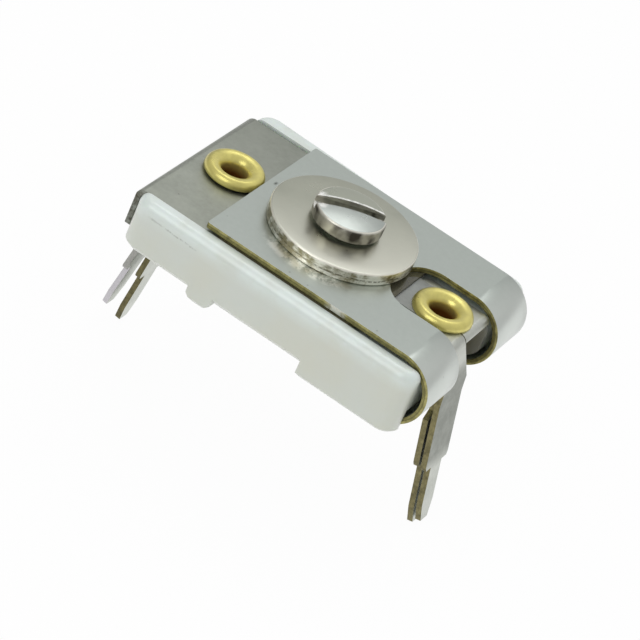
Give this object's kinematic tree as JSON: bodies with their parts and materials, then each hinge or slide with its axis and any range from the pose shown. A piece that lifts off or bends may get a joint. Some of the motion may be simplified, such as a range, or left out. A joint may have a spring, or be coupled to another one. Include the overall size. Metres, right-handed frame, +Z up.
{
  "type": "trimmer capacitor",
  "caption": "Compression mica trimmer capacitor: glazed ceramic base, hairpin spring plate, pressure washer, slotted adjusting screw, brass eyelets and split solder legs.",
  "frame": {"origin": "on the adjusting screw's axis, level with the shoulders that seat on the circuit board", "axes": "+Z up along the adjusting screw, away from the solder tines; +X from the left eyelet to the right eyelet, the side where the spring plate curls round the base; +Y completes the right-handed frame"},
  "size_m": [0.0184, 0.0119, 0.0124],
  "materials": {
    "glazed_ceramic": "glossy",
    "brass": "bright",
    "tinned_spring_brass": "satin",
    "tinned_sheet": "satin",
    "mica": "clear",
    "nickel_plate": "polished"
  },
  "bodies": {
    "frame": {"base": "glazed_ceramic", "threaded_insert": "brass", "spring_plate": "tinned_spring_brass", "left_terminal_top": "tinned_sheet", "left_terminal_bottom": "tinned_sheet", "right_terminal_top": "tinned_sheet", "right_terminal_bottom": "tinned_sheet", "left_eyelet": "brass", "right_eyelet": "brass", "mica_film_lower": "mica", "moving_foil": "tinned_sheet", "mica_film_upper": "mica", "mica_film_middle": "mica", "fixed_foil": "tinned_sheet"},
    "pressure_washer": {"washer": "nickel_plate"},
    "screw": {"adjusting_screw": "nickel_plate"}
  },
  "joints": [
    {"name": "washer_lift", "type": "slide", "parent": "frame", "child": "pressure_washer", "axis": [0, 0, 1], "range_m": [0, 0.00136], "deforming": ["spring_plate"]},
    {"name": "screw_turn", "type": "hinge", "parent": "pressure_washer", "child": "screw", "pos_m": [0, 0, 0.00812], "axis": [0, 0, 1], "range_deg": [0, 1080]}
  ],
  "couplings": [
    {"joint": "screw_turn", "follows": "washer_lift", "rad_per_m": 13852}
  ]
}
